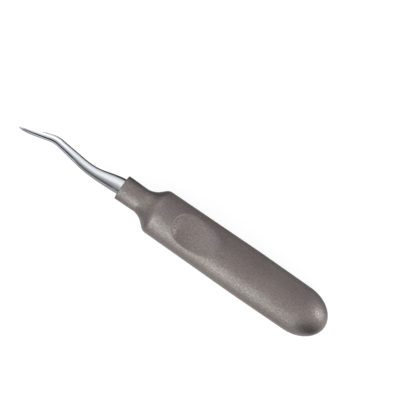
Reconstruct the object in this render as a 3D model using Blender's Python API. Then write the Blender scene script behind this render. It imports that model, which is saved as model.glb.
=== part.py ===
"""Luxating elevator: a swan-necked 5 mm spoon blade pressed into a hollow, blasted steel handle.

Two pieces of stainless steel make it. The blade is one forging: ground spoon, round tapering
shank, tang. The handle is one shell: collar, shoulder, grip with a thumb recess, domed butt.

Both are modelled in the handle's own frame: the origin lies in the collar's front face, +X runs
along the axis to the butt, and +Z points out of the thumb recess. An empty then lays the
instrument on its grip, with the middle of its base at the world's origin.
"""

from math import atan, cos, pi, radians, sin, sqrt, tan

import bmesh
import bpy
from mathutils import Matrix, Vector

MM = 0.001

# Handle: outline from the collar's front face to the butt
HANDLE_LENGTH = 100.9 * MM
COLLAR_FRONT_DIAMETER = 11.1 * MM
COLLAR_BACK_DIAMETER = 10.8 * MM
COLLAR_LENGTH = 11.4 * MM
COLLAR_CHAMFER = 0.25 * MM
NECK_FILLET = 5.0 * MM
SHOULDER_ANGLE = radians(41)
SHOULDER_DIAMETER = 20.1 * MM
SHOULDER_ROUND = 1.6 * MM
GRIP_DIAMETER = 20.95 * MM
GRIP_WIDEST_AT = 62.0 * MM
DOME_DIAMETER = 20.7 * MM
DOME_LENGTH = 13.3 * MM
HANDLE_WALL = 1.4 * MM

# Thumb recess: pressed by a leaning ellipsoid, so that its wall is steeper towards the blade
RECESS_AT = 38.0 * MM
RECESS_DEPTH = 3.25 * MM
RECESS_HALF_LENGTH = 14.0 * MM
RECESS_HALF_BREADTH = 18.9 * MM
RECESS_HALF_HEIGHT = 8.9 * MM
RECESS_LEAN = radians(20)
RECESS_SKEW = radians(4)

# Shank: its centre line is straight runs joined by bends, all in one plane
ROOT_BEND = radians(8.3)
ROOT_BEND_RADIUS = 14.0 * MM
ROOT_RUN = 6.5 * MM
BACK_BEND = radians(16)
BACK_BEND_RADIUS = 40.0 * MM
ARM_RUN = 11.2 * MM
TIP_BEND = radians(22.5)
TIP_BEND_RADIUS = 12.0 * MM
BLADE_RUN = 14.0 * MM
ROOT_DIAMETER = 7.4 * MM
ROOT_FLARE = 15.0 * MM
WAIST_DIAMETER = 4.75 * MM
NECK_DIAMETER = 3.4 * MM
TANG_LENGTH = 13.0 * MM
TANG_CHAMFER = 0.6 * MM
TANG_CLEARANCE = 0.3 * MM
BLADE_ROLL = radians(7.5)

# Spoon blade: a flared end that thins towards the tip, its outer face hollow ground by a crowned wheel
BLADE_WIDTH = 5.1 * MM
BLADE_THICKNESS = 3.35 * MM
BLADE_NOSE = 3.0 * MM
THINNING_RUN = 6.0 * MM
NOSE_SLANT = 0.6
SLANT_RUN = 5.0 * MM
FACE_LENGTH = 11.6 * MM
FACE_TWIST = radians(4)
FACE_SKEW = radians(4)
EDGE_DROP = 0.2 * MM
WHEEL_RADIUS = 22.0 * MM
WHEEL_CROWN = 6.5 * MM

# Fineness of the faceted surfaces
HANDLE_SIDES = 48
SHANK_SIDES = 32
WHEEL_SIDES = 96
RECESS_RINGS = 28
ARC_STEP = radians(9)
RING_SPACING = 1.25 * MM
NOSE_RINGS = 9

# What a cutter reaches past the surface that it cuts
OVERCUT = 2.0 * MM


def clear_scene():
    """Remove every object, so that the part stands alone."""
    for thing in list(bpy.data.objects):
        bpy.data.objects.remove(thing, do_unlink=True)


def steel(name, colour, roughness):
    """A bare stainless surface of one finish."""
    material = bpy.data.materials.new(name)
    material.use_nodes = True
    shader = material.node_tree.nodes["Principled BSDF"]
    shader.inputs["Base Color"].default_value = (*colour, 1.0)
    shader.inputs["Metallic"].default_value = 1.0
    shader.inputs["Roughness"].default_value = roughness
    return material


def add_object(name, bm):
    """Turn a bmesh into a named object with outward faces and smooth round sides."""
    bmesh.ops.recalc_face_normals(bm, faces=bm.faces)
    mesh = bpy.data.meshes.new(name)
    bm.to_mesh(mesh)
    bm.free()
    mesh.shade_smooth()
    mesh.set_sharp_from_angle(angle=radians(32))
    thing = bpy.data.objects.new(name, mesh)
    bpy.context.scene.collection.objects.link(thing)
    return thing


def as_cutter(thing, parent):
    """Keep a helper out of the picture, and let it follow what it cuts."""
    thing.hide_render = True
    thing.display_type = "WIRE"
    thing.parent = parent
    return thing


def cut(thing, cutter, label):
    """Subtract one closed mesh from another."""
    boolean = thing.modifiers.new(label, "BOOLEAN")
    boolean.operation = "DIFFERENCE"
    boolean.solver = "EXACT"
    boolean.object = cutter


def rounded(corners):
    """Turn (x, radius, fillet) corners into points, each fillet an arc tangent to both sides."""
    points = []
    for index, (x, r, fillet) in enumerate(corners):
        corner = Vector((x, r))
        if not fillet:
            points.append(corner)
            continue
        back = (Vector(corners[index - 1][:2]) - corner).normalized()
        ahead = (Vector(corners[index + 1][:2]) - corner).normalized()
        half_angle = back.angle(ahead) / 2
        reach = fillet / tan(half_angle)
        sweep = pi - 2 * half_angle
        centre = corner + (back + ahead).normalized() * (fillet / sin(half_angle))
        steps = max(2, round(sweep / ARC_STEP))
        start = corner + back * reach - centre
        turn = sweep if back.x * ahead.y - back.y * ahead.x < 0 else -sweep
        for step in range(steps + 1):
            spoke = Matrix.Rotation(turn * step / steps, 2) @ start
            points.append(centre + spoke)
    return points


def dome(start_x, start_r, length):
    """Quarter ellipse that closes the butt, as (x, radius) points down to the axis."""
    steps = round((pi / 2) / ARC_STEP)
    angles = [pi / 2 * step / steps for step in range(1, steps + 1)]
    points = [Vector((start_x + length * sin(a), start_r * cos(a))) for a in angles]
    points[-1].y = 0.0
    return points


def shoulder_x():
    """Where the shoulder's cone reaches the grip."""
    return COLLAR_LENGTH + (SHOULDER_DIAMETER - COLLAR_BACK_DIAMETER) / 2 / tan(SHOULDER_ANGLE)


def grip_taper():
    """Angle between the axis and the facet that the grip lies on."""
    rise = (GRIP_DIAMETER - SHOULDER_DIAMETER) / 2 * cos(pi / HANDLE_SIDES)
    return atan(rise / (GRIP_WIDEST_AT - shoulder_x()))


def handle_outline():
    """Outer profile of the handle, from the axis at the collar's face to the axis at the butt."""
    front = COLLAR_FRONT_DIAMETER / 2
    dome_x = HANDLE_LENGTH - DOME_LENGTH
    corners = (
        (0.0, 0.0, 0.0),
        (0.0, front - COLLAR_CHAMFER, 0.0),
        (COLLAR_CHAMFER, front, 0.0),
        (COLLAR_LENGTH, COLLAR_BACK_DIAMETER / 2, NECK_FILLET),
        (shoulder_x(), SHOULDER_DIAMETER / 2, SHOULDER_ROUND),
        (GRIP_WIDEST_AT, GRIP_DIAMETER / 2, 0.0),
        (dome_x, DOME_DIAMETER / 2, 0.0),
    )
    return rounded(corners) + dome(dome_x, DOME_DIAMETER / 2, DOME_LENGTH)


def bore_radius():
    """The collar's bore, which clears the tang."""
    return ROOT_DIAMETER / 2 + TANG_CLEARANCE


def cavity_outline():
    """Profile of the bore and of the hollow behind it, one wall inside the outer profile."""
    across = HANDLE_WALL / cos(SHOULDER_ANGLE)
    cone_start = COLLAR_BACK_DIAMETER / 2 - across
    neck_x = COLLAR_LENGTH + (bore_radius() - cone_start) / tan(SHOULDER_ANGLE)
    inner_shoulder = SHOULDER_DIAMETER / 2 - HANDLE_WALL
    inner_x = COLLAR_LENGTH + (inner_shoulder - cone_start) / tan(SHOULDER_ANGLE)
    dome_x = HANDLE_LENGTH - DOME_LENGTH
    inner_dome = DOME_DIAMETER / 2 - HANDLE_WALL
    corners = (
        (-OVERCUT, 0.0, 0.0),
        (-OVERCUT, bore_radius(), 0.0),
        (neck_x, bore_radius(), 0.0),
        (inner_x, inner_shoulder, 0.0),
        (GRIP_WIDEST_AT, GRIP_DIAMETER / 2 - HANDLE_WALL, 0.0),
        (dome_x, inner_dome, 0.0),
    )
    return rounded(corners) + dome(dome_x, inner_dome, DOME_LENGTH - HANDLE_WALL)


def turned(points, sides):
    """Revolve (x, radius) points about the axis, with a flat facet underneath and on top."""
    bm = bmesh.new()
    start = Matrix.Rotation(pi / sides, 3, "X")
    verts = [bm.verts.new(start @ Vector((x, 0.0, r))) for x, r in points]
    edges = [bm.edges.new(pair) for pair in zip(verts, verts[1:])]
    bmesh.ops.spin(
        bm, geom=verts + edges, cent=(0, 0, 0), axis=(1, 0, 0), angle=2 * pi, steps=sides, use_merge=True
    )
    bmesh.ops.remove_doubles(bm, verts=bm.verts, dist=0.001 * MM)
    return bm


def recess_tool(name, grown):
    """Leaning ellipsoid that presses the recess; grown by the wall, it leaves the floor's metal."""
    crest = SHOULDER_DIAMETER / 2 + (RECESS_AT - shoulder_x()) * tan(grip_taper())
    along = RECESS_HALF_LENGTH * sin(RECESS_LEAN)
    upright = RECESS_HALF_HEIGHT * cos(RECESS_LEAN)
    lowest = sqrt(along**2 + upright**2)
    halves = (RECESS_HALF_LENGTH, RECESS_HALF_BREADTH, RECESS_HALF_HEIGHT)
    bm = bmesh.new()
    bmesh.ops.create_uvsphere(bm, u_segments=HANDLE_SIDES, v_segments=RECESS_RINGS, radius=1.0)
    bm.transform(Matrix.Diagonal([half + grown for half in halves] + [1.0]))
    tool = add_object(name, bm)
    tool.location = (RECESS_AT, 0.0, crest - RECESS_DEPTH + lowest)
    tool.rotation_euler = (0.0, -RECESS_LEAN, RECESS_SKEW)
    return tool


def make_handle(parent):
    """The blasted shell: outer revolve, less the thumb recess, the bore and the hollow."""
    handle = add_object("handle", turned(handle_outline(), HANDLE_SIDES))
    handle.parent = parent
    handle.data.materials.append(steel("blasted_steel", (0.23, 0.205, 0.19), 0.45))
    hollow = as_cutter(add_object("hollow_cutter", turned(cavity_outline(), HANDLE_SIDES)), parent)
    floor = as_cutter(recess_tool("recess_floor_cutter", HANDLE_WALL), parent)
    dish = as_cutter(recess_tool("recess_cutter", 0.0), parent)
    cut(hollow, floor, "metal left under the recess")
    cut(handle, dish, "thumb recess")
    cut(handle, hollow, "bore and hollow")
    return handle


def shank_pieces():
    """The swan neck from the collar's face to the tip, as (length, turn) pieces."""
    return (
        (ROOT_BEND_RADIUS * ROOT_BEND, ROOT_BEND),
        (ROOT_RUN, 0.0),
        (BACK_BEND_RADIUS * BACK_BEND, -BACK_BEND),
        (ARM_RUN, 0.0),
        (TIP_BEND_RADIUS * TIP_BEND, TIP_BEND),
        (BLADE_RUN, 0.0),
    )


def shank_length():
    """Length of the whole centre line in front of the collar."""
    return sum(length for length, _ in shank_pieces())


def blade_start():
    """Distance along the centre line at which the last bend ends and the blade flares."""
    return shank_length() - BLADE_RUN


def place_at(distance):
    """Frame on the centre line: X across the blade, Y out of its back, Z towards the tip."""
    point = Vector((0.0, 0.0))
    heading = 0.0
    left = distance
    for length, turn in shank_pieces():
        step = left if length == 0 else min(left, length)
        bend = turn * step / length
        chord = step if not bend else 2 * sin(bend / 2) * step / bend
        point += chord * Vector((cos(heading + bend / 2), sin(heading + bend / 2)))
        heading += bend
        left -= step
        if left <= 0:
            break
    ahead = Vector((-cos(heading), -sin(heading), 0.0))
    back = Vector((sin(heading), -cos(heading), 0.0))
    across = back.cross(ahead)
    frame = Matrix((across, back, ahead)).transposed().to_4x4()
    frame.translation = Vector((-point.x, -point.y, 0.0))
    return frame


def ease(share):
    """Smooth step from 0 to 1."""
    return (1 - cos(pi * min(max(share, 0.0), 1.0))) / 2


def shank_radius(distance):
    """Radius of the round shank: a straight taper, with a flared root at the collar."""
    taper = (WAIST_DIAMETER - NECK_DIAMETER) / 2 / (blade_start() - ROOT_FLARE)
    straight = NECK_DIAMETER / 2 + taper * (blade_start() - distance)
    root_extra = ROOT_DIAMETER / 2 - (NECK_DIAMETER / 2 + taper * blade_start())
    return straight + root_extra * (1 - ease(distance / ROOT_FLARE))


def closing(distance, run):
    """Share of a half size that is left where an ellipse of that length closes the tip."""
    into = max(distance - shank_length() + run, 0.0) / run
    return sqrt(max(1 - into**2, 0.0))


def half_sizes(distance):
    """Half width and half thickness of the forging at a distance from the collar's face."""
    if distance <= blade_start():
        radius = shank_radius(max(distance, 0.0))
        return radius, radius
    widest = shank_length() - BLADE_NOSE
    share = ease((distance - blade_start()) / (widest - blade_start()))
    neck = NECK_DIAMETER / 2
    width = neck + (BLADE_WIDTH / 2 - neck) * share
    thickness = neck + (BLADE_THICKNESS / 2 - neck) * share
    return width * closing(distance, BLADE_NOSE), thickness * closing(distance, THINNING_RUN)


def ring_distances():
    """Where the forging's sections stand, close together round the nose."""
    widest = shank_length() - BLADE_NOSE
    count = round(widest / RING_SPACING)
    even = [widest * step / count for step in range(count + 1)]
    nose = [widest + BLADE_NOSE * sin(pi / 2 * step / NOSE_RINGS) for step in range(1, NOSE_RINGS)]
    return even + nose


def section(distance):
    """Matrix that turns the unit circle into the forging's section at that distance."""
    half_width, half_thickness = half_sizes(distance)
    twist = Matrix.Rotation(-FACE_TWIST, 4, "Z")
    slant = Matrix.Identity(4)
    slant[2][0] = NOSE_SLANT * ease((distance - shank_length() + BLADE_NOSE + SLANT_RUN) / SLANT_RUN)
    return place_at(distance) @ twist @ slant @ Matrix.Diagonal((half_width, half_thickness, 1.0, 1.0))


def tang_sections():
    """The tang's sections, from its chamfered end inside the handle to the collar's face."""
    root = ROOT_DIAMETER / 2
    ends = ((-TANG_LENGTH, root - TANG_CHAMFER), (-TANG_LENGTH + TANG_CHAMFER, root))
    back = place_at(0.0)
    return [
        back @ Matrix.Translation((0.0, 0.0, along)) @ Matrix.Diagonal((radius, radius, 1.0, 1.0))
        for along, radius in ends
    ]


def forging():
    """Carry one circle from the tang's end along the swan neck, and close it at the tip."""
    bm = bmesh.new()
    sections = tang_sections() + [section(distance) for distance in ring_distances()]
    bmesh.ops.create_circle(bm, cap_ends=True, segments=SHANK_SIDES, radius=1.0, matrix=sections[0])
    rim = list(bm.edges)
    for before, after in zip(sections, sections[1:]):
        grown = bmesh.ops.extrude_edge_only(bm, edges=rim)["geom"]
        verts = [item for item in grown if isinstance(item, bmesh.types.BMVert)]
        rim = [
            item
            for item in grown
            if isinstance(item, bmesh.types.BMEdge) and all(v in verts for v in item.verts)
        ]
        bmesh.ops.transform(bm, matrix=after @ before.inverted(), verts=verts)
    tip = place_at(shank_length()).translation
    grown = bmesh.ops.extrude_edge_only(bm, edges=rim)["geom"]
    verts = [item for item in grown if isinstance(item, bmesh.types.BMVert)]
    bmesh.ops.pointmerge(bm, verts=verts, merge_co=tip)
    return bm


def grinding_wheel():
    """Part of a crowned wheel's rim, which passes through the face's heel and its cutting edge."""
    heel_frame = place_at(shank_length() - FACE_LENGTH)
    heel_radius = half_sizes(shank_length() - FACE_LENGTH)[1]
    heel = heel_frame @ Vector((0.0, -heel_radius, 0.0))
    edge = place_at(shank_length()) @ Vector((0.0, EDGE_DROP, 0.0))
    chord = edge - heel
    outward = Vector((-chord.y, chord.x, 0.0)).normalized()
    if outward.y < 0:
        outward = -outward
    rise = sqrt(WHEEL_RADIUS**2 - (chord.length / 2) ** 2)
    centre = (heel + edge) / 2 + outward * rise
    rim_centre = centre - outward * (WHEEL_RADIUS - WHEEL_CROWN)
    sweep = 2 * atan(chord.length / WHEEL_RADIUS)
    steps = max(8, round(sweep / (2 * pi) * 2 * WHEEL_SIDES))
    bm = bmesh.new()
    facing = Matrix((Vector((0.0, 0.0, 1.0)), outward, chord.normalized())).transposed().to_4x4()
    facing.translation = rim_centre
    bmesh.ops.create_circle(
        bm, cap_ends=True, segments=WHEEL_SIDES, radius=WHEEL_CROWN, matrix=facing
    )
    back_turn = Matrix.Rotation(-sweep / 2, 3, "Z")
    bmesh.ops.rotate(bm, cent=centre, matrix=back_turn, verts=bm.verts)
    disc = list(bm.verts) + list(bm.edges) + list(bm.faces)
    bmesh.ops.spin(bm, geom=disc, cent=centre, axis=(0, 0, 1), angle=sweep, steps=steps)
    middle = place_at(shank_length() - FACE_LENGTH / 2)
    skew = Matrix.Rotation(FACE_SKEW, 3, middle.col[1].to_3d())
    twist = Matrix.Rotation(-FACE_TWIST, 3, middle.col[2].to_3d())
    bmesh.ops.rotate(bm, cent=middle.translation, matrix=twist @ skew, verts=bm.verts)
    return add_object("grinding_wheel_cutter", bm)


def make_blade(parent):
    """The polished forging, with its outer face hollow ground to an edge."""
    blade = add_object("blade", forging())
    blade.data.materials.append(steel("polished_steel", (0.62, 0.63, 0.65), 0.14))
    blade.parent = parent
    blade.rotation_euler.x = BLADE_ROLL
    wheel = as_cutter(grinding_wheel(), parent)
    wheel.rotation_euler.x = BLADE_ROLL
    cut(blade, wheel, "hollow ground face")
    return blade


def lay_on_grip(parent, things):
    """Level the grip's lowest facet, and put the middle of the base at the world's origin."""
    parent.rotation_euler.y = -grip_taper()
    bpy.context.view_layer.update()
    graph = bpy.context.evaluated_depsgraph_get()
    corners = []
    for thing in things:
        evaluated = thing.evaluated_get(graph)
        corners += [evaluated.matrix_world @ vert.co for vert in evaluated.data.vertices]
    low = Vector([min(corner[axis] for corner in corners) for axis in range(3)])
    high = Vector([max(corner[axis] for corner in corners) for axis in range(3)])
    middle = (low + high) / 2
    parent.location = (-middle.x, -middle.y, -low.z)
    bpy.context.view_layer.update()


def main():
    """Build the two pieces and lay them down."""
    clear_scene()
    axis = bpy.data.objects.new("handle_axis", None)
    bpy.context.scene.collection.objects.link(axis)
    lay_on_grip(axis, [make_handle(axis), make_blade(axis)])


if __name__ == "__main__":
    main()
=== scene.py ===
"""Luxating elevator: the blasted handle and the polished blade, finely modelled and finished.

Both pieces are modelled in the handle's own frame, in millimetres: the origin lies in the
collar's front face, +X runs along the axis to the butt, and +Z points out of the thumb recess.
The placement then lays them where the frame's solids lie.
"""

from __future__ import annotations

import logging
from dataclasses import dataclass, field
from enum import Enum
from math import atan, ceil, cos, pi, radians, sin, sqrt, tan

import bmesh
import bpy
from bmesh.types import BMEdge, BMesh, BMVert
from bpy.types import ID, Material, Mesh, Node, NodeSocket, NodeTree, Object
from mathutils import Matrix, Vector


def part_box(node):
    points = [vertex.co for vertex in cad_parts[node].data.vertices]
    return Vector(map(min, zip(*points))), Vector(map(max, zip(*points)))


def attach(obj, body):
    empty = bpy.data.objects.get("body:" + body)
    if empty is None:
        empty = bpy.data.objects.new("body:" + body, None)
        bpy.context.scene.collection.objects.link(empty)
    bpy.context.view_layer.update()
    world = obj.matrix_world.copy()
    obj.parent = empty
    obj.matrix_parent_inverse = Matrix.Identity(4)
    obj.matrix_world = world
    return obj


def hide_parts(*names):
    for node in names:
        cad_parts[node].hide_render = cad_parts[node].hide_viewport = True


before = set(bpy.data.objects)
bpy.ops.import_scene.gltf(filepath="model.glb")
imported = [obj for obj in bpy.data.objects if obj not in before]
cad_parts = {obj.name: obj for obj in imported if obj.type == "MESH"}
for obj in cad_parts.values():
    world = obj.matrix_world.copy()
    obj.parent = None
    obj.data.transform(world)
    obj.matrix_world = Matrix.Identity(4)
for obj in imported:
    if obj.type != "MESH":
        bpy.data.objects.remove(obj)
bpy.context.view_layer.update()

LOG = logging.getLogger("elevator")
MM = 0.001
# The handle's solid has flat sides, and the smooth round lies within them
SOLID_SIDES = 48
# Corners closer than this, in mm, are one
MERGE_DISTANCE = 0.0005


class Slot(Enum):
    """The record's material slots."""

    BLASTED = "blasted_steel"
    POLISHED = "polished_steel"


# Helpers for meshes


def soft_minimum(first: float, second: float, reach: float) -> float:
    """Take the smaller of two heights, with the crease between them rounded.

    Args:
        first: One height.
        second: The other height.
        reach: How far apart the two heights may be for the rounding to show.

    Returns:
        The rounded smaller height.
    """
    near = max(reach - abs(first - second), 0.0) / reach
    return min(first, second) - near * near * reach / 4


def ease(share: float) -> float:
    """Smooth step from 0 to 1."""
    return (1 - cos(pi * min(max(share, 0.0), 1.0))) / 2


def new_object(name: str, data: ID) -> Object:
    """Put some data in the scene.

    Args:
        name: Name of the object.
        data: Its mesh, light or camera.

    Returns:
        The new object.
    """
    thing = bpy.data.objects.new(name, data)
    bpy.context.scene.collection.objects.link(thing)
    return thing


def finished_mesh(name: str, shape: BMesh, crease: float) -> Mesh:
    """Turn a bmesh into a smooth-shaded mesh with outward faces.

    Args:
        name: Name of the mesh.
        shape: The bmesh, which is freed.
        crease: Angle in degrees above which an edge stays sharp.

    Returns:
        The new mesh.
    """
    bmesh.ops.remove_doubles(shape, verts=shape.verts, dist=MERGE_DISTANCE)
    bmesh.ops.recalc_face_normals(shape, faces=shape.faces)
    mesh = bpy.data.meshes.new(name)
    shape.to_mesh(mesh)
    shape.free()
    mesh.shade_smooth()
    mesh.set_sharp_from_angle(angle=radians(crease))
    return mesh


@dataclass
class Outline:
    """A half section in the XZ plane, drawn corner by corner and then turned about X.

    Each rounding is made of arcs of arc_step or less, and chain lists the corners in order.
    """

    arc_step: float = radians(3)
    shape: BMesh = field(default_factory=bmesh.new)
    chain: list[BMVert] = field(default_factory=list)
    fillets: list[tuple[BMVert, float]] = field(default_factory=list)

    def corner(self, x: float, radius: float, fillet: float = 0.0) -> None:
        """Add the next corner.

        Args:
            x: Distance behind the collar's face, in mm.
            radius: Distance from the axis, in mm.
            fillet: Radius of the rounding at this corner, in mm, or 0.
        """
        vert = self.shape.verts.new((x, 0.0, radius))
        if self.chain:
            self.shape.edges.new((self.chain[-1], vert))
        self.chain.append(vert)
        if fillet:
            self.fillets.append((vert, fillet))

    def dome(self, length: float, steps: int) -> None:
        """Close the outline to the axis with a quarter of an ellipse.

        Args:
            length: How far the ellipse reaches past the last corner, in mm.
            steps: How many chords it is drawn with.
        """
        start = self.chain[-1].co.copy()
        for step in range(1, steps + 1):
            turn = pi / 2 * step / steps
            radius = start.z * cos(turn) if step < steps else 0.0
            self.corner(start.x + length * sin(turn), radius)

    def round_corners(self) -> None:
        """Replace each corner that has a fillet by an arc."""
        for vert, fillet in self.fillets:
            back, ahead = (edge.other_vert(vert).co - vert.co for edge in vert.link_edges)
            half = back.angle(ahead) / 2
            bmesh.ops.bevel(
                self.shape,
                geom=[vert],
                offset=fillet / tan(half),
                offset_type="OFFSET",
                segments=max(2, ceil((pi - 2 * half) / self.arc_step)),
                profile=0.5,
                affect="VERTICES",
                material=-1,
            )

    def refine(self, start: float, end: float, spacing: float) -> None:
        """Cut the long edges between two stations into short ones.

        Args:
            start: First station in mm.
            end: Last station in mm.
            spacing: Longest edge to leave, in mm.
        """
        for station in (start, end):
            bmesh.ops.bisect_plane(
                self.shape,
                geom=[*self.shape.verts, *self.shape.edges],
                plane_co=(station, 0.0, 0.0),
                plane_no=(1.0, 0.0, 0.0),
            )
        for edge in list(self.shape.edges):
            middle = (edge.verts[0].co + edge.verts[1].co) / 2
            cuts = ceil(edge.calc_length() / spacing) - 1
            if start < middle.x < end and cuts > 0:
                bmesh.ops.subdivide_edges(self.shape, edges=[edge], cuts=cuts)

    def turned(self, sides: int) -> BMesh:
        """Turn the outline about the axis.

        Args:
            sides: How many sides the round has.

        Returns:
            The closed shape.
        """
        bmesh.ops.spin(
            self.shape,
            geom=[*self.shape.verts, *self.shape.edges],
            cent=(0.0, 0.0, 0.0),
            axis=(1.0, 0.0, 0.0),
            angle=2 * pi,
            steps=sides,
            use_merge=True,
        )
        bmesh.ops.remove_doubles(self.shape, verts=self.shape.verts, dist=MERGE_DISTANCE)
        return self.shape


# Shader building blocks

NUMBER = "NodeSocketFloat"
GRAIN_RANGE = (0.3, 0.7)
CLOUD_RANGE = (0.25, 0.75)
WORN_RANGE = (0.505, 0.56)
WORN_POLISH = 0.3


@dataclass
class Nodes:
    """A node tree under construction."""

    tree: NodeTree

    def add(self, kind: str, **settings: object) -> Node:
        """Add a node.

        Args:
            kind: The node's Blender type.
            settings: Node attributes to set.

        Returns:
            The new node.
        """
        node = self.tree.nodes.new(kind)
        for name, value in settings.items():
            setattr(node, name, value)
        return node

    def link(self, source: NodeSocket, target: NodeSocket) -> None:
        """Join two sockets."""
        self.tree.links.new(source, target)

    def feed(self, target: NodeSocket, value: object) -> None:
        """Link a socket, or set a plain value, on a target socket."""
        if isinstance(value, NodeSocket):
            self.link(value, target)
        else:
            target.default_value = value

    def math(
        self, operation: str, first: object, second: object = 0.0, clamp: bool = False
    ) -> NodeSocket:
        """Combine two numbers.

        Args:
            operation: Blender's name of the operation.
            first: A socket or a number.
            second: A socket or a number.
            clamp: Whether the result is kept between 0 and 1.

        Returns:
            The result's socket.
        """
        node = self.add("ShaderNodeMath", operation=operation, use_clamp=clamp)
        self.feed(node.inputs[0], first)
        self.feed(node.inputs[1], second)
        return node.outputs[0]

    def span(
        self, value: object, low: float, high: float, to_low: float = 0.0, to_high: float = 1.0
    ) -> NodeSocket:
        """Map a range of values smoothly to another.

        Args:
            value: A socket or a number.
            low: Start of the range.
            high: End of the range.
            to_low: What the start becomes.
            to_high: What the end becomes.

        Returns:
            The result's socket.
        """
        node = self.add("ShaderNodeMapRange", interpolation_type="SMOOTHSTEP")
        self.feed(node.inputs["Value"], value)
        node.inputs["From Min"].default_value = low
        node.inputs["From Max"].default_value = high
        node.inputs["To Min"].default_value = to_low
        node.inputs["To Max"].default_value = to_high
        return node.outputs["Result"]

    def blend(self, share: object, first: object, second: object) -> NodeSocket:
        """Mix two colours.

        Args:
            share: How much of the second colour, as a socket or a number.
            first: A socket or a colour.
            second: A socket or a colour.

        Returns:
            The mixed colour's socket.
        """
        node = self.add("ShaderNodeMix", data_type="RGBA")
        self.feed(node.inputs[0], share)
        self.feed(node.inputs[6], first)
        self.feed(node.inputs[7], second)
        return node.outputs[2]

    def group(self, tree: NodeTree, **values: float) -> Node:
        """Place a shared group.

        Args:
            tree: The group.
            values: The group's inputs.

        Returns:
            The group's node.
        """
        node = self.add("ShaderNodeGroup", node_tree=tree)
        for label, value in values.items():
            node.inputs[label].default_value = value
        return node


def effect_group(
    name: str, inputs: dict[str, float], outputs: tuple[str, ...]
) -> tuple[Nodes, dict, dict]:
    """Start a shader node group whose sockets are all plain numbers.

    Args:
        name: Name of the group.
        inputs: The input sockets and their usual values.
        outputs: The output sockets.

    Returns:
        The group's nodes, its inputs by name, and its outputs by name.
    """
    tree = bpy.data.node_groups.new(name, "ShaderNodeTree")
    for label, usual in inputs.items():
        socket = tree.interface.new_socket(name=label, in_out="INPUT", socket_type=NUMBER)
        socket.default_value = usual
    for label in outputs:
        tree.interface.new_socket(name=label, in_out="OUTPUT", socket_type=NUMBER)
    nodes = Nodes(tree)
    entry = nodes.add("NodeGroupInput")
    leave = nodes.add("NodeGroupOutput")
    return nodes, dict(entry.outputs.items()), dict(leave.inputs.items())


def grain_group() -> NodeTree:
    """Fine grain, stretched along the axis or not, as a mask and a height.

    Returns:
        The group, with Size and Stretch in millimetres, and Mask and Height out.
    """
    nodes, given, result = effect_group("grain", {"Size": 0.4, "Stretch": 1.0}, ("Mask", "Height"))
    place = nodes.add("ShaderNodeTexCoord").outputs["Object"]
    split = nodes.add("ShaderNodeSeparateXYZ")
    nodes.link(place, split.inputs[0])
    joined = nodes.add("ShaderNodeCombineXYZ")
    nodes.link(nodes.math("DIVIDE", split.outputs["X"], given["Stretch"]), joined.inputs["X"])
    for axis in "YZ":
        nodes.link(split.outputs[axis], joined.inputs[axis])
    scale = nodes.math("DIVIDE", 1 / MM, given["Size"])
    noise = nodes.add("ShaderNodeTexNoise")
    nodes.link(joined.outputs[0], noise.inputs["Vector"])
    nodes.link(scale, noise.inputs["Scale"])
    noise.inputs["Detail"].default_value = 3.0
    noise.inputs["Roughness"].default_value = 0.6
    nodes.link(nodes.span(noise.outputs["Fac"], *GRAIN_RANGE), result["Mask"])
    nodes.link(noise.outputs["Fac"], result["Height"])
    return nodes.tree


def edge_wear_group() -> NodeTree:
    """Where convex edges are rubbed bright and hollows stay dull.

    Returns:
        The group, with Amount in, and Mask out.
    """
    nodes, given, result = effect_group("edge_wear", {"Amount": 1.0}, ("Mask",))
    pointed = nodes.add("ShaderNodeNewGeometry").outputs["Pointiness"]
    mask = nodes.span(pointed, *WORN_RANGE)
    nodes.link(nodes.math("MULTIPLY", mask, given["Amount"], clamp=True), result["Mask"])
    return nodes.tree


def cloudiness_group() -> NodeTree:
    """Wide, soft unevenness of a finish, as handling leaves it.

    Returns:
        The group, with Size in millimetres in, and Mask out.
    """
    nodes, given, result = effect_group("cloudiness", {"Size": 9.0}, ("Mask",))
    place = nodes.add("ShaderNodeTexCoord").outputs["Object"]
    scale = nodes.math("DIVIDE", 1 / MM, given["Size"])
    noise = nodes.add("ShaderNodeTexNoise")
    nodes.link(place, noise.inputs["Vector"])
    nodes.link(scale, noise.inputs["Scale"])
    noise.inputs["Detail"].default_value = 2.0
    nodes.link(nodes.span(noise.outputs["Fac"], *CLOUD_RANGE), result["Mask"])
    return nodes.tree


@dataclass(frozen=True)
class Effects:
    """The shader node groups that the finishes share."""

    grain: NodeTree
    edge_wear: NodeTree
    cloudiness: NodeTree

    @classmethod
    def build(cls) -> Effects:
        """Build each group once."""
        return cls(grain_group(), edge_wear_group(), cloudiness_group())


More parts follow.
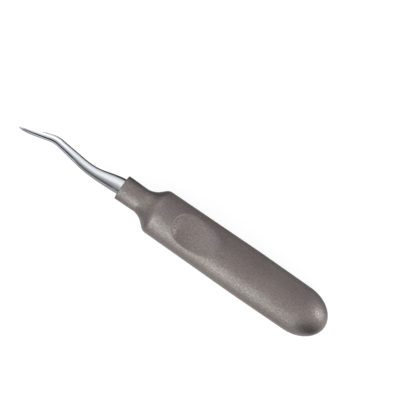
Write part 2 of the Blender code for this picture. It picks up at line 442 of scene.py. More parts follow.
@dataclass(frozen=True)
class SteelFinish:
    """One finish of the stainless steel; lengths in millimetres.

    The grain's bright specks have the light colour and a roughness that goes from rough_dark
    towards rough_light; convex edges have the worn colour and are smoother.
    """

    name: str
    dark: tuple[float, float, float]
    light: tuple[float, float, float]
    worn: tuple[float, float, float]
    rough_dark: float
    rough_light: float
    grain_size: float
    grain_stretch: float
    grain_depth: float
    grain_tone: float
    cloud_size: float
    cloud_tone: float
    wear: float

    def build(self, effects: Effects) -> Material:
        """Make the material.

        Args:
            effects: The shared groups.

        Returns:
            The material.
        """
        material = bpy.data.materials.new(self.name)
        material.use_nodes = True
        nodes = Nodes(material.node_tree)
        shader = material.node_tree.nodes["Principled BSDF"]
        shader.inputs["Metallic"].default_value = 1.0
        grain = nodes.group(effects.grain, Size=self.grain_size, Stretch=self.grain_stretch)
        cloud = nodes.group(effects.cloudiness, Size=self.cloud_size)
        wear = nodes.group(effects.edge_wear, Amount=self.wear)
        speckle = nodes.math("MULTIPLY", grain.outputs["Mask"], self.grain_tone)
        patches = nodes.math("MULTIPLY", cloud.outputs["Mask"], self.cloud_tone)
        tone = nodes.math("ADD", speckle, patches, clamp=True)
        body = nodes.blend(tone, (*self.dark, 1.0), (*self.light, 1.0))
        colour = nodes.blend(wear.outputs["Mask"], body, (*self.worn, 1.0))
        nodes.link(colour, shader.inputs["Base Color"])
        gloss = nodes.math("MULTIPLY_ADD", speckle, self.rough_light - self.rough_dark)
        gloss.node.inputs[2].default_value = self.rough_dark
        polished = nodes.math("MULTIPLY", wear.outputs["Mask"], WORN_POLISH)
        rough = nodes.math("SUBTRACT", gloss, nodes.math("MULTIPLY", polished, gloss))
        nodes.link(rough, shader.inputs["Roughness"])
        bump = nodes.add("ShaderNodeBump")
        bump.inputs["Strength"].default_value = 1.0
        bump.inputs["Distance"].default_value = self.grain_depth * MM
        nodes.link(grain.outputs["Height"], bump.inputs["Height"])
        nodes.link(bump.outputs["Normal"], shader.inputs["Normal"])
        return material


BLASTED = SteelFinish(
    name="blasted_steel",
    dark=(0.172, 0.146, 0.137),
    light=(0.285, 0.246, 0.232),
    worn=(0.36, 0.325, 0.31),
    rough_dark=0.51,
    rough_light=0.24,
    grain_size=0.65,
    grain_stretch=1.0,
    grain_depth=0.15,
    grain_tone=0.55,
    cloud_size=14.0,
    cloud_tone=0.25,
    wear=0.5,
)

POLISHED = SteelFinish(
    name="polished_steel",
    dark=(0.6, 0.61, 0.635),
    light=(0.66, 0.67, 0.69),
    worn=(0.72, 0.73, 0.75),
    rough_dark=0.1,
    rough_light=0.15,
    grain_size=0.12,
    grain_stretch=14.0,
    grain_depth=0.0006,
    grain_tone=0.5,
    cloud_size=6.0,
    cloud_tone=0.5,
    wear=0.2,
)

GROUND = SteelFinish(
    name="ground_steel",
    dark=(0.64, 0.64, 0.67),
    light=(0.72, 0.72, 0.76),
    worn=(0.8, 0.8, 0.84),
    rough_dark=0.2,
    rough_light=0.28,
    grain_size=0.1,
    grain_stretch=20.0,
    grain_depth=0.0015,
    grain_tone=0.6,
    cloud_size=3.0,
    cloud_tone=0.4,
    wear=0.2,
)


# The instrument


@dataclass(frozen=True)
class Placement:
    """Where the handle's frame lies at rest; sizes in millimetres, as in the solids."""

    shoulder_diameter: float
    grip_diameter: float
    shoulder_at: float
    widest_at: float
    face_radius: float

    def taper(self) -> float:
        """Angle between the axis and the table that the tapered grip lies on."""
        rise = (self.grip_diameter - self.shoulder_diameter) / 2 * cos(pi / SOLID_SIDES)
        return atan(rise / (self.widest_at - self.shoulder_at))

    def matrix(self) -> Matrix:
        """Work out the frame from the handle's solid.

        Returns:
            The matrix from the handle's frame, in millimetres, to the world's, in metres.
        """
        low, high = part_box("handle")
        tilt = self.taper()
        radius = self.grip_diameter / 2 * cos(pi / SOLID_SIDES)
        height = radius * cos(tilt) - self.widest_at * sin(tilt)
        front = low.x / MM + self.face_radius * sin(tilt)
        middle = (low.y + high.y) / 2 / MM
        lift = Matrix.Translation((front, middle, height)) @ Matrix.Rotation(-tilt, 4, "Y")
        return Matrix.Scale(MM, 4) @ lift

    def piece(self, mesh: Mesh, node: str, slot: Slot) -> Object:
        """Put a finished mesh in the world in place of its solid.

        Args:
            mesh: The mesh in the handle's frame, in millimetres.
            node: The solid that it stands for.
            slot: The record's slot of its finish; not used.

        Returns:
            The new piece.
        """
        mesh.transform(self.matrix())
        piece = new_object(mesh.name, mesh)
        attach(piece, "root")
        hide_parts(node)
        return piece


@dataclass
class ThumbRecess:
    """The dish pressed into the grip by an ellipsoid that leans towards the blade; sizes in mm.

    The ellipsoid lies at the station at. The dish reaches as far as reach to either side of its
    middle. Its lip is sharper towards the blade and softens along the direction fade.
    """

    at: float = 39.2
    depth: float = 3.25
    halves: tuple[float, float, float] = (15.0, 19.0, 8.4)
    lean: float = radians(21.5)
    skew: float = radians(4)
    middle: float = 35.2
    reach: float = 12.0
    lip: float = 0.45
    soft_lip: float = 1.5
    fade: tuple[float, float] = (0.9, 0.45)
    fade_start: float = 0.3

    def height(self, point: Vector, crest: float, grown: float) -> float | None:
        """Height of the dish over a point of the handle.

        Args:
            point: The point, in mm.
            crest: Height of the grip's top line at the dish, in mm.
            grown: How much larger than the dish the ellipsoid is, in mm.

        Returns:
            The height in mm, or None beside the dish.
        """
        turn = Matrix.Rotation(self.skew, 3, "Z") @ Matrix.Rotation(-self.lean, 3, "Y")
        weights = Matrix.Diagonal([1 / (half + grown) ** 2 for half in self.halves])
        form = turn @ weights @ turn.transposed()
        flat = Vector((point.x - self.at, point.y, 0.0))
        slope = (form @ flat).z
        inside = slope**2 - form[2][2] * (flat.dot(form @ flat) - 1)
        if inside <= 0:
            return None
        lowest = Vector((self.halves[0] * sin(self.lean), self.halves[2] * cos(self.lean))).length
        return crest - self.depth + lowest - (slope + sqrt(inside)) / form[2][2]

    def lip_at(self, point: Vector) -> float:
        """How far the lip is rounded at a point, wider where the dish fades out."""
        along = Vector((point.x - self.middle, point.y)).dot(Vector(self.fade)) / self.reach
        return self.lip + (self.soft_lip - self.lip) * ease(along + self.fade_start)

    def press(self, shape: BMesh, crest: float, wall: float, inside: float) -> None:
        """Push the grip's top down into the dish, and the hollow's top with it.

        Args:
            shape: The turned shell.
            crest: Height of the grip's top line at the dish, in mm.
            wall: The shell's wall, in mm.
            inside: Radius that parts the hollow's surface from the outer one, in mm.
        """
        for vert in shape.verts:
            if vert.co.z <= 0 or abs(vert.co.x - self.middle) > self.reach + wall:
                continue
            radius = Vector((vert.co.y, vert.co.z)).length
            floor = self.height(vert.co, crest, wall if radius < inside else 0.0)
            if floor is not None:
                vert.co.z = soft_minimum(vert.co.z, floor, self.lip_at(vert.co))


@dataclass
class Handle:
    """The hollow, bead-blasted shell; sizes in millimetres."""

    length: float = 100.9
    collar_front: float = 11.1
    collar_back: float = 10.8
    collar_length: float = 11.95
    collar_round: float = 0.3
    neck_fillet: float = 7.0
    shoulder_angle: float = radians(43)
    shoulder_diameter: float = 20.1
    shoulder_round: float = 3.2
    grip_diameter: float = 20.95
    widest_at: float = 62.0
    dome_diameter: float = 20.6
    dome_length: float = 13.8
    wall: float = 1.4
    bore: float = 8.0
    solid_chamfer: float = 0.25
    sides: int = 192
    dome_steps: int = 30
    hollow_steps: int = 12
    spacing: float = 0.3
    crease: float = 50.0
    recess: ThumbRecess = field(default_factory=ThumbRecess)

    def shoulder_at(self) -> float:
        """Where the shoulder's cone reaches the grip."""
        rise = (self.shoulder_diameter - self.collar_back) / 2
        return self.collar_length + rise / tan(self.shoulder_angle)

    def placement(self) -> Placement:
        """Where the handle's frame lies at rest."""
        return Placement(
            shoulder_diameter=self.shoulder_diameter,
            grip_diameter=self.grip_diameter,
            shoulder_at=self.shoulder_at(),
            widest_at=self.widest_at,
            face_radius=self.collar_front / 2 - self.solid_chamfer,
        )

    def draw(self) -> Outline:
        """Draw the shell's half section, from the hollow's far end round to the butt.

        Returns:
            The outline.
        """
        fit = cos(pi / SOLID_SIDES)
        outline = Outline()
        across = self.wall / cos(self.shoulder_angle)
        slope = tan(self.shoulder_angle)
        inner_start = self.collar_back / 2 - across
        inner_shoulder = self.shoulder_diameter / 2 - self.wall
        dome_at = self.length - self.dome_length
        inner_dome = self.dome_diameter / 2 - self.wall
        inner_length = self.dome_length - self.wall
        for step in range(self.hollow_steps + 1):
            turn = pi / 2 * step / self.hollow_steps
            radius = inner_dome * sin(turn) if step else 0.0
            outline.corner(dome_at + inner_length * cos(turn), radius)
        outline.corner(self.widest_at, self.grip_diameter / 2 - self.wall)
        outline.corner(self.collar_length + (inner_shoulder - inner_start) / slope, inner_shoulder)
        outline.corner(self.collar_length + (self.bore / 2 - inner_start) / slope, self.bore / 2)
        outline.corner(0.0, self.bore / 2)
        outline.corner(0.0, self.collar_front / 2 * fit, self.collar_round)
        outline.corner(self.collar_length, self.collar_back / 2 * fit, self.neck_fillet)
        outline.corner(self.shoulder_at(), self.shoulder_diameter / 2 * fit, self.shoulder_round)
        outline.corner(self.widest_at, self.grip_diameter / 2 * fit)
        outline.corner(dome_at, self.dome_diameter / 2 * fit)
        outline.dome(self.dome_length, self.dome_steps)
        return outline

    def build(self, finish: Material) -> Object:
        """Turn the shell, press its recess and lay it down.

        Args:
            finish: The blasted finish.

        Returns:
            The piece.
        """
        outline = self.draw()
        outline.round_corners()
        inside = self.shoulder_diameter / 2 - self.wall / 2
        start, end = (self.recess.middle + side * self.recess.reach for side in (-1, 1))
        outline.refine(start, end, self.spacing)
        shape = outline.turned(self.sides)
        share = (self.recess.at - self.shoulder_at()) / (self.widest_at - self.shoulder_at())
        swell = (self.grip_diameter - self.shoulder_diameter) * share
        crest = (self.shoulder_diameter + swell) / 2
        self.recess.press(shape, crest, self.wall, inside)
        mesh = finished_mesh("handle_shell", shape, self.crease)
        mesh.materials.append(finish)
        return self.placement().piece(mesh, "handle", Slot.BLASTED)


@dataclass
class SwanNeck:
    """The shank's centre line: straight runs joined by bends in one plane; lengths in mm."""

    pieces: tuple[tuple[float, float], ...] = (
        (14.0 * radians(8.3), radians(8.3)),
        (6.5, 0.0),
        (40.0 * radians(16), -radians(16)),
        (11.2, 0.0),
        (12.0 * radians(22.5), radians(22.5)),
        (14.0, 0.0),
    )

    def length(self) -> float:
        """Length of the whole centre line."""
        return sum(length for length, _ in self.pieces)

    def blade_start(self) -> float:
        """Distance at which the last bend ends."""
        return self.length() - self.pieces[-1][0]

    def place_at(self, distance: float) -> Matrix:
        """Find the frame at a distance in front of the collar.

        Args:
            distance: Distance along the line, in mm.

        Returns:
            A frame with X across the blade, Y out of its back and Z towards the tip.
        """
        point = Vector((0.0, 0.0))
        heading = 0.0
        left = distance
        for length, turn in self.pieces:
            step = min(left, length)
            bend = turn * step / length
            chord = step if not bend else 2 * sin(bend / 2) * step / bend
            point += chord * Vector((cos(heading + bend / 2), sin(heading + bend / 2)))
            heading += bend
            left -= step
            if left <= 0:
                break
        ahead = Vector((-cos(heading), -sin(heading), 0.0))
        back = Vector((sin(heading), -cos(heading), 0.0))
        place = Matrix((back.cross(ahead), back, ahead)).transposed().to_4x4()
        place.translation = Vector((-point.x, -point.y, 0.0))
        return place


@dataclass
class Blade:
    """The polished forging: tang, swan neck and hollow-ground spoon; sizes in millimetres."""

    line: SwanNeck = field(default_factory=SwanNeck)
    root: float = 7.4
    root_flare: float = 15.0
    waist: float = 4.75
    neck: float = 3.4
    tang_length: float = 12.9
    tang_chamfer: float = 0.6
    roll: float = radians(7.5)
    width: float = 5.1
    thickness: float = 3.35
    nose: float = 3.0
    thinning: float = 6.0
    nose_slant: float = 0.6
    slant_run: float = 5.0
    face_length: float = 11.6
    face_twist: float = radians(4)
    face_skew: float = radians(4)
    edge_drop: float = 0.2
    wheel_radius: float = 22.0
    wheel_crown: float = 6.5
    sides: int = 96
    spacing: float = 0.4
    nose_rings: int = 24
    wheel_steps: int = 60
    crease: float = 60.0
    ground_crease: float = 24.0

    def radius_at(self, distance: float) -> float:
        """Radius of the round shank, with its flared root.

        Args:
            distance: Distance in front of the collar, in mm.

        Returns:
            The radius in mm.
        """
        start = self.line.blade_start()
        taper = (self.waist - self.neck) / 2 / (start - self.root_flare)
        straight = self.neck / 2 + taper * (start - distance)
        extra = self.root / 2 - (self.neck / 2 + taper * start)
        return straight + extra * (1 - ease(distance / self.root_flare))

    def half_sizes(self, distance: float) -> tuple[float, float]:
        """Half width and half thickness of the forging.

        Args:
            distance: Distance in front of the collar, in mm.

        Returns:
            Half width and half thickness in mm.
        """
        start = self.line.blade_start()
        if distance <= start:
            radius = self.radius_at(max(distance, 0.0))
            return radius, radius
        widest = self.line.length() - self.nose
        share = ease((distance - start) / (widest - start))
        neck = self.neck / 2
        width = neck + (self.width / 2 - neck) * share
        thick = neck + (self.thickness / 2 - neck) * share
        width *= self.closing(distance, self.nose)
        thick *= self.closing(distance, self.thinning)
        return width, thick

    def closing(self, distance: float, run: float) -> float:
        """Share of a half size that is left where an ellipse closes the tip.

        Args:
            distance: Distance in front of the collar, in mm.
            run: Length of the ellipse, in mm.

        Returns:
            The share, from 1 down to 0 at the tip.
        """
        into = max(distance - self.line.length() + run, 0.0) / run
        return sqrt(max(1 - into**2, 0.0))

    def sections(self) -> list[Matrix]:
        """List the matrices that turn the unit circle into each of the forging's sections."""
        root = self.root / 2
        tang = self.line.place_at(0.0)
        ends = (
            (-self.tang_length, root - self.tang_chamfer),
            (self.tang_chamfer - self.tang_length, root),
        )
        matrices = [
            tang @ Matrix.Translation((0.0, 0.0, along)) @ Matrix.Diagonal((size, size, 1.0, 1.0))
            for along, size in ends
        ]
        widest = self.line.length() - self.nose
        count = ceil(widest / self.spacing)
        stations = [widest * step / count for step in range(count + 1)]
        for step in range(1, self.nose_rings):
            stations.append(widest + self.nose * sin(pi / 2 * step / self.nose_rings))
        twist = Matrix.Rotation(-self.face_twist, 4, "Z")
        for station in stations:
            half_width, half_thick = self.half_sizes(station)
            slant = Matrix.Identity(4)
            into = (station - widest + self.slant_run) / self.slant_run
            slant[2][0] = self.nose_slant * ease(into)
            size = Matrix.Diagonal((half_width, half_thick, 1.0, 1.0))
            matrices.append(self.line.place_at(station) @ twist @ slant @ size)
        return matrices

    def forging(self) -> BMesh:
        """Carry a circle along the swan neck and close it at the tip.

        Returns:
            The closed forging.
        """
        shape = bmesh.new()
        sections = self.sections()
        bmesh.ops.create_circle(
            shape, cap_ends=True, segments=self.sides, radius=1.0, matrix=sections[0]
        )
        rim = list(shape.edges)
        for before, after in zip(sections, sections[1:]):
            grown = bmesh.ops.extrude_edge_only(shape, edges=rim)["geom"]
            verts = [item for item in grown if isinstance(item, BMVert)]
            ring = set(verts)
            edges = [item for item in grown if isinstance(item, BMEdge)]
            rim = [edge for edge in edges if ring.issuperset(edge.verts)]
            bmesh.ops.transform(shape, matrix=after @ before.inverted(), verts=verts)
        grown = bmesh.ops.extrude_edge_only(shape, edges=rim)["geom"]
        last = [item for item in grown if isinstance(item, BMVert)]
        tip = self.line.place_at(self.line.length()).translation
        bmesh.ops.pointmerge(shape, verts=last, merge_co=tip)
        return shape

    def wheel(self) -> BMesh:
        """Model the part of the crowned grinding wheel's rim that cuts the face.

        Returns:
            The closed wheel segment.
        """
        tip_at = self.line.length()
        heel_at = tip_at - self.face_length
        heel = self.line.place_at(heel_at) @ Vector((0.0, -self.half_sizes(heel_at)[1], 0.0))
        edge = self.line.place_at(tip_at) @ Vector((0.0, self.edge_drop, 0.0))
        chord = edge - heel
        outward = Vector((-chord.y, chord.x, 0.0)).normalized()
        if outward.y < 0:
            outward = -outward
        centre = (heel + edge) / 2 + outward * sqrt(self.wheel_radius**2 - (chord.length / 2) ** 2)
        across = Vector((0.0, 0.0, 1.0))
        facing = Matrix((across, outward, chord.normalized())).transposed().to_4x4()
        facing.translation = centre - outward * (self.wheel_radius - self.wheel_crown)
        shape = bmesh.new()
        bmesh.ops.create_circle(
            shape, cap_ends=True, segments=self.sides * 2, radius=self.wheel_crown, matrix=facing
        )
        sweep = 2 * atan(chord.length / self.wheel_radius)
        start = Matrix.Rotation(-sweep / 2, 3, "Z")
        bmesh.ops.rotate(shape, cent=centre, matrix=start, verts=shape.verts)
        disc = [*shape.verts, *shape.edges, *shape.faces]
        steps = self.wheel_steps
        bmesh.ops.spin(shape, geom=disc, cent=centre, axis=across, angle=sweep, steps=steps)
        middle = self.line.place_at(tip_at - self.face_length / 2)
        skew = Matrix.Rotation(self.face_skew, 3, middle.col[1].to_3d())
        twist = Matrix.Rotation(-self.face_twist, 3, middle.col[2].to_3d())
        bmesh.ops.rotate(shape, cent=middle.translation, matrix=twist @ skew, verts=shape.verts)
        return shape

    def grind(self, body: Mesh, wheel: Mesh) -> Mesh:
        """Cut the wheel out of the forging.

        Args:
            body: The forging.
            wheel: The wheel segment, with the same materials.

        Returns:
            The ground blade's mesh.
        """
        whole = new_object("forging", body)
        tool = new_object("grinding_wheel", wheel)
        cut = whole.modifiers.new("hollow ground face", "BOOLEAN")
        cut.operation = "DIFFERENCE"
        cut.solver = "EXACT"
        cut.object = tool
        bpy.context.view_layer.update()
        evaluated = whole.evaluated_get(bpy.context.evaluated_depsgraph_get())
        ground = bpy.data.meshes.new_from_object(evaluated)
        ground.name = "ground_blade"
        for thing in (whole, tool):
            bpy.data.objects.remove(thing, do_unlink=True)
        return ground

    def build(self, placement: Placement, polished: Material, ground: Material) -> Object:
        """Forge, grind and lay down the blade.

        Args:
            placement: Where the handle's frame lies.
            polished: The finish of the shank and of the blade's back.
            ground: The finish of the hollow-ground face.

        Returns:
            The piece.
        """
        body = finished_mesh("forging", self.forging(), self.crease)
        wheel = finished_mesh("grinding_wheel", self.wheel(), self.crease)
        for mesh in (body, wheel):
            mesh.materials.append(polished)
            mesh.materials.append(ground)
        for face in wheel.polygons:
            face.material_index = 1
        mesh = self.grind(body, wheel)
        mesh.shade_smooth()
        mesh.set_sharp_from_angle(angle=radians(self.ground_crease))
        mesh.transform(Matrix.Rotation(self.roll, 4, "X"))
        return placement.piece(mesh, "blade", Slot.POLISHED)


# The studio

PANEL_LIFT = 0.0006


def glowing(name: str) -> tuple[Material, Nodes, NodeSocket]:
    """Start a material that only glows.

    Args:
        name: Name of the material.

    Returns:
        The material, its nodes and the socket of the glow's colour.
    """
    material = bpy.data.materials.new(name)
    material.use_nodes = True
    shader = material.node_tree.nodes["Principled BSDF"]
    shader.inputs["Base Color"].default_value = (0.0, 0.0, 0.0, 1.0)
    shader.inputs["Specular IOR Level"].default_value = 0.0
    shader.inputs["Emission Strength"].default_value = 1.0
    return material, Nodes(material.node_tree), shader.inputs["Emission Color"]


def stage_piece(name: str, shape: BMesh, finish: Material) -> Object:
    """Put a piece of the studio in the scene.

    Args:
        name: Name of the piece.
        shape: Its bmesh, which is freed.
        finish: Its material.

    Returns:
        The new piece.
    """
    mesh = bpy.data.meshes.new(name)
    shape.to_mesh(mesh)
    shape.free()
    mesh.materials.append(finish)
    piece = new_object(name, mesh)
    return piece


@dataclass(frozen=True)
class Panel:
    """A plain panel that the steel reflects and the camera doesn't see; lengths in metres.

    It faces the point aim, or up. The shades are stops from its lower edge, 0, to its upper one,
    1. Near its left edge, within the length rise_run, they shift down by up to rise.
    """

    name: str
    centre: tuple[float, float, float]
    size: tuple[float, float]
    shades: tuple[tuple[float, float], ...]
    aim: tuple[float, float, float] | None = None
    tint: tuple[float, float, float] = (1.0, 1.0, 1.0)
    shadow: bool = False
    rise: float = 0.0
    rise_run: float = 0.035

    def finish(self) -> Material:
        """Make the panel's finish, shaded from its lower edge to its upper one.

        Returns:
            The material.
        """
        material, nodes, glow = glowing(self.name)
        split = nodes.add("ShaderNodeSeparateXYZ")
        nodes.link(nodes.add("ShaderNodeTexCoord").outputs["Object"], split.inputs[0])
        share = nodes.math("MULTIPLY_ADD", split.outputs["Y"], 1 / self.size[1])
        edge = -self.size[0] / 2
        rise = nodes.span(split.outputs["X"], edge, edge + self.rise_run, self.rise, 0.0)
        nodes.link(nodes.math("ADD", rise, 0.5), share.node.inputs[2])
        ramp = nodes.add("ShaderNodeValToRGB")
        nodes.link(share, ramp.inputs["Fac"])
        stops = ramp.color_ramp.elements
        while len(stops) < len(self.shades):
            stops.new(0.5)
        for stop, (at, shade) in zip(stops, self.shades):
            stop.position = at
            stop.color = (*(shade * part for part in self.tint), 1.0)
        nodes.link(ramp.outputs["Color"], glow)
        return material

    def build(self) -> None:
        """Stand the panel in the studio."""
        shape = bmesh.new()
        bmesh.ops.create_grid(shape, x_segments=1, y_segments=1, size=0.5)
        bmesh.ops.scale(shape, vec=(self.size[0], self.size[1], 1.0), verts=shape.verts)
        panel = stage_piece(self.name, shape, self.finish())
        facing = Vector(self.aim) - Vector(self.centre) if self.aim else Vector((0.0, 0.0, 1.0))
        panel.location = self.centre
        panel.rotation_euler = facing.to_track_quat("Z", "Y").to_euler()
        panel.visible_camera = False
        panel.visible_diffuse = False
        panel.visible_shadow = self.shadow


PANELS = (
    Panel(
        "white_panel",
        centre=(-0.11, 0.09, 0.11),
        aim=(-0.11, -0.005, 0.0),
        size=(0.17, 0.26),
        shades=((0.0, 0.3), (0.12, 0.95), (0.4, 1.2), (0.7, 1.35), (1.0, 1.1)),
        tint=(0.97, 1.0, 1.03),
    ),
    Panel(
        "grey_flag",
        centre=(-0.11, -0.08, 0.1025),
        aim=(-0.11, 0.115, -0.0375),
        size=(0.165, 0.24),
        shades=(
            (0.02, 0.5), (0.1, 0.25), (0.19, 0.05), (0.29, 0.1),
            (0.4, 0.26), (0.6, 0.5), (0.8, 0.78), (1.0, 1.1),
        ),
        tint=(1.0, 1.0, 0.98),
        rise=0.15,
    ),
    Panel("shank_strip", (-0.043, 0.08, PANEL_LIFT), (0.046, 0.148), ((0.0, 0.08), (1.0, 0.08))),
    Panel(
        "shank_floor",
        (-0.09, -0.075, PANEL_LIFT),
        (0.13, 0.13),
        ((0.0, 0.42), (0.8, 0.52), (1.0, 0.85)),
        tint=(0.98, 0.98, 1.09),
    ),
    Panel("grip_strip", (0.04, 0.05, PANEL_LIFT), (0.12, 0.075), ((0.0, 0.36), (1.0, 0.36))),
    Panel(
        "butt_flag",
        centre=(0.15, -0.095, 0.045),
        aim=(0.07, 0.0, 0.01),
        size=(0.15, 0.09),
        shades=((0.0, 0.03), (1.0, 0.05)),
        shadow=True,
    ),
    Panel(
        "blade_flag",
        centre=(-0.064, -0.03, 0.02),
        aim=(-0.078, 0.0, 0.011),
        size=(0.018, 0.04),
        shades=((0.0, 0.95), (0.36, 0.85), (0.45, 0.02), (1.0, 0.0)),
        tint=(0.98, 0.96, 1.08),
    ),
    Panel(
        "blade_panel",
        centre=(-0.074, 0.03, 0.045),
        aim=(-0.07, -0.002, 0.01),
        size=(0.03, 0.034),
        shades=((0.0, 1.7), (1.0, 1.9)),
        tint=(0.97, 1.0, 1.03),
    ),
    Panel(
        "end_panel",
        centre=(-0.3, 0.0, 0.045),
        aim=(0.0, 0.0, 0.01),
        size=(0.3, 0.11),
        shades=((0.0, 1.0), (1.0, 1.2)),
    ),
    Panel(
        "collar_panel",
        centre=(-0.019, -0.04, 0.052),
        aim=(-0.019, -0.002, 0.014),
        size=(0.0145, 0.036),
        shades=((0.0, 5.2), (1.0, 3.8)),
        tint=(0.9, 0.99, 1.0),
    ),
    Panel("grip_floor", (0.025, -0.029, PANEL_LIFT), (0.1, 0.034), ((0.0, 0.95), (1.0, 0.55))),
    Panel("butt_floor", (0.135, -0.045, PANEL_LIFT), (0.1, 0.07), ((0.0, 0.1), (1.0, 0.3))),
)


@dataclass(frozen=True)
class Lamp:
    """A soft lamp of a plain level; lengths in metres and power in watts."""

    name: str
    centre: tuple[float, float, float]
    aim: tuple[float, float, float]
    size: tuple[float, float]
    power: float
    tint: tuple[float, float, float] = (0.86, 0.99, 1.0)

    def build(self) -> None:
        """Hang the lamp in the studio."""
        data = bpy.data.lights.new(self.name, "AREA")
        data.shape = "RECTANGLE"
        data.size, data.size_y = self.size
        data.energy = self.power
        data.color = self.tint
        centre, aim = Vector(self.centre), Vector(self.aim)
        lamp = new_object(self.name, data)
        lamp.location = centre
        lamp.rotation_euler = (aim - centre).to_track_quat("-Z", "Y").to_euler()


LAMPS = (
    Lamp("front_lamp", (0.045, -0.25, 0.1), (0.045, 0.0, 0.01), (0.2, 0.18), 0.26),
    Lamp("butt_lamp", (0.33, 0.15, 0.1), (0.07, 0.0, 0.01), (0.12, 0.12), 0.29),
    Lamp("collar_lamp", (-0.15, -0.128, 0.135), (-0.018, 0.0, 0.014), (0.06, 0.06), 0.12),
)


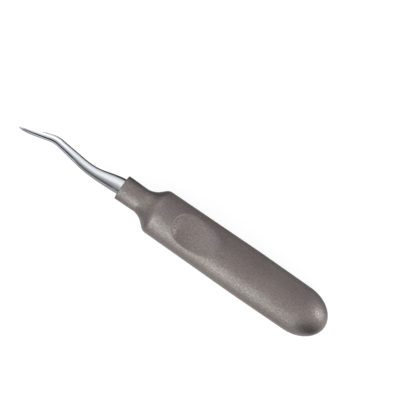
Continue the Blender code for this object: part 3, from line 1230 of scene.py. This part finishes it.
@dataclass
class Studio:
    """A white table under a soft sky, with panels that only the steel reflects; metres.

    The camera looks at the centre, given along and beside the handle's axis, from the distance.
    It leans over and turns against that axis. The sky goes from sky_front, towards the front, to
    sky_back, over sky_reach to either side. The dome opens at dome_opening of its radius.
    """

    placement: Placement
    table_size: float = 3.0
    table_drop: float = 0.00002
    paper: float = 0.8
    veil: float = 0.22
    glow: float = 0.85
    distance: float = 0.45
    picture_width: float = 0.164
    sensor_width: float = 36.0
    centre: tuple[float, float] = (0.0293, 0.0139)
    lean: float = radians(7.4)
    turn: float = radians(34.7)
    front: tuple[float, float, float] = (0.53, -0.77, 0.35)
    sky_front: tuple[float, float, float] = (1.0, 1.0, 1.0)
    sky_back: tuple[float, float, float] = (0.44, 0.44, 0.45)
    sky_reach: float = 0.9
    dome_radius: float = 1.3
    dome_opening: float = 0.75
    dome_detail: int = 5

    def table_finish(self) -> Material:
        """Make the table's finish: white to the camera, with the object's shadow kept.

        Returns:
            The material.
        """
        material = bpy.data.materials.new("white_table")
        material.use_nodes = True
        nodes = Nodes(material.node_tree)
        material.node_tree.nodes.clear()
        output = nodes.add("ShaderNodeOutputMaterial")
        paper = nodes.add("ShaderNodeBsdfDiffuse")
        paper.inputs["Color"].default_value = (self.paper, self.paper, self.paper, 1.0)
        veil = nodes.add("ShaderNodeBsdfDiffuse")
        veil.inputs["Color"].default_value = (self.veil, self.veil, self.veil, 1.0)
        glow = nodes.add("ShaderNodeEmission")
        glow.inputs["Color"].default_value = (1.0, 1.0, 1.0, 1.0)
        glow.inputs["Strength"].default_value = self.glow
        shown = nodes.add("ShaderNodeAddShader")
        nodes.link(veil.outputs[0], shown.inputs[0])
        nodes.link(glow.outputs[0], shown.inputs[1])
        mix = nodes.add("ShaderNodeMixShader")
        nodes.link(self.seen(nodes), mix.inputs[0])
        nodes.link(paper.outputs[0], mix.inputs[1])
        nodes.link(shown.outputs[0], mix.inputs[2])
        nodes.link(mix.outputs[0], output.inputs["Surface"])
        return material

    def table(self) -> None:
        """Lay the table under the instrument."""
        shape = bmesh.new()
        bmesh.ops.create_grid(shape, x_segments=1, y_segments=1, size=self.table_size / 2)
        table = stage_piece("table", shape, self.table_finish())
        table.location.z = -self.table_drop

    def seen(self, nodes: Nodes) -> NodeSocket:
        """Tell the rays that show the white background from those that only carry light.

        Args:
            nodes: The nodes to add to.

        Returns:
            The socket that is 1 for the camera's rays and for reflected and refracted ones.
        """
        path = nodes.add("ShaderNodeLightPath")
        shown = nodes.math("MAXIMUM", path.outputs["Is Camera Ray"], path.outputs["Is Glossy Ray"])
        return nodes.math("MAXIMUM", shown, path.outputs["Is Transmission Ray"])

    def sky_shade(self, nodes: Nodes, direction: NodeSocket) -> NodeSocket:
        """Shade the soft sky, which is stronger from the front.

        Args:
            nodes: The nodes to add to.
            direction: Socket of the direction, with a length of 1.

        Returns:
            The colour's socket.
        """
        facing = nodes.add("ShaderNodeVectorMath", operation="DOT_PRODUCT")
        nodes.link(direction, facing.inputs[0])
        facing.inputs[1].default_value = self.front
        share = nodes.span(facing.outputs["Value"], -self.sky_reach, self.sky_reach)
        return nodes.blend(share, (*self.sky_back, 1.0), (*self.sky_front, 1.0))

    def sky(self) -> None:
        """Make the world: white to the camera and in the steel, and a soft light on the table."""
        world = bpy.data.worlds.new("soft_sky")
        bpy.context.scene.world = world
        world.use_nodes = True
        nodes = Nodes(world.node_tree)
        background = world.node_tree.nodes["Background"]
        light = self.sky_shade(nodes, nodes.add("ShaderNodeTexCoord").outputs["Generated"])
        colour = nodes.blend(self.seen(nodes), light, (1.0, 1.0, 1.0, 1.0))
        nodes.link(colour, background.inputs["Color"])
        background.inputs["Strength"].default_value = 1.0

    def dome_finish(self) -> Material:
        """Make the dome's finish, shaded as the soft sky.

        Returns:
            The material.
        """
        material, nodes, glow = glowing("sky_dome")
        material.cycles.emission_sampling = "NONE"
        outward = nodes.add("ShaderNodeVectorMath", operation="NORMALIZE")
        nodes.link(nodes.add("ShaderNodeTexCoord").outputs["Object"], outward.inputs[0])
        nodes.link(self.sky_shade(nodes, outward.outputs["Vector"]), glow)
        return material

    def dome(self) -> None:
        """Raise a dome that shades the steel from behind, open to the white world in front."""
        front = Vector(self.front).normalized()
        shape = bmesh.new()
        bmesh.ops.create_icosphere(shape, subdivisions=self.dome_detail, radius=self.dome_radius)
        openings = (
            (front * self.dome_radius * self.dome_opening, front),
            (Vector(), Vector((0.0, 0.0, -1.0))),
        )
        for point, outward in openings:
            bmesh.ops.bisect_plane(
                shape,
                geom=[*shape.verts, *shape.edges, *shape.faces],
                plane_co=point,
                plane_no=outward,
                clear_outer=True,
            )
        dome = stage_piece("sky_dome", shape, self.dome_finish())
        dome.visible_camera = False
        dome.visible_diffuse = False
        dome.visible_shadow = False

    def camera(self) -> None:
        """Look down on the instrument, with its blade at the upper left."""
        frame_matrix = self.placement.matrix() @ Matrix.Scale(1 / MM, 4)
        along = Vector((1.0, 0.0, 0.0))
        beside = Vector((0.0, cos(self.lean), sin(self.lean)))
        away = Vector((0.0, -sin(self.lean), cos(self.lean)))
        right = along * cos(self.turn) + beside * sin(self.turn)
        up = beside * cos(self.turn) - along * sin(self.turn)
        target = along * self.centre[0] + beside * self.centre[1]
        pose = Matrix((right, up, away)).transposed().to_4x4()
        pose.translation = target + away * self.distance
        data = bpy.data.cameras.new("camera")
        data.sensor_width = self.sensor_width
        data.lens = data.sensor_width * self.distance / self.picture_width
        camera = new_object("camera", data)
        camera.matrix_world = frame_matrix @ pose
        bpy.context.scene.camera = camera

    def build(self) -> None:
        """Set up the table, the sky, its dome, the panels, the lamps and the camera."""
        bpy.context.scene.view_settings.view_transform = "Standard"
        self.table()
        self.sky()
        self.dome()
        for fitting in (*PANELS, *LAMPS):
            fitting.build()
        self.camera()


def main() -> None:
    """Build the instrument and its studio."""
    logging.basicConfig(level=logging.INFO, format="%(message)s")
    effects = Effects.build()
    blasted, polished, ground = (finish.build(effects) for finish in (BLASTED, POLISHED, GROUND))
    handle = Handle()
    placement = handle.placement()
    for piece in (handle.build(blasted), Blade().build(placement, polished, ground)):
        LOG.info("%s: %d faces", piece.name, len(piece.data.polygons))
    Studio(placement).build()


if __name__ == "__main__":
    main()
